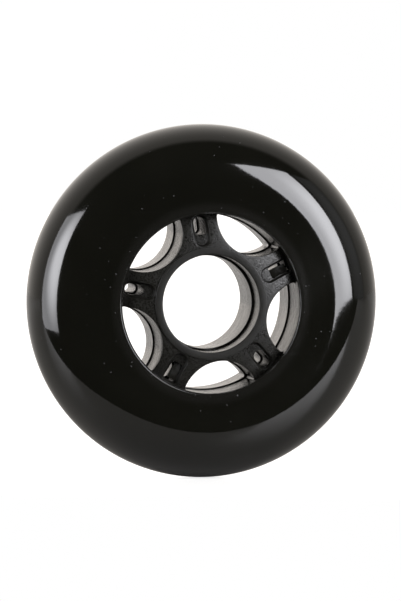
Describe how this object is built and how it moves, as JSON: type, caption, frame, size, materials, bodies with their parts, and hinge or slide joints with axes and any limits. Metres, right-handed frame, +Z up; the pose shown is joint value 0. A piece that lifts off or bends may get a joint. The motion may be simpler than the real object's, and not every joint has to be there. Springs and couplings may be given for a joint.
{
  "type": "inline skate wheel",
  "caption": "Black cast tyre with a fully round crown on a spoked plastic hub of two halves, with empty bearing seats for an inline skate.",
  "frame": {"origin": "centre of the wheel, on its axis, midway between its sides", "axes": "+Y along the wheel's axis towards the rear half, +Z up, +X to the right seen from the front"},
  "size_m": [0.08, 0.024, 0.08],
  "materials": {
    "tyre": "glossy cast polyurethane",
    "hub": "fine spark texture on the spokes, smooth collars"
  },
  "bodies": {
    "root": {"tyre": "tyre", "front_hub_half": "hub", "rear_hub_half": "hub"}
  },
  "joints": []
}
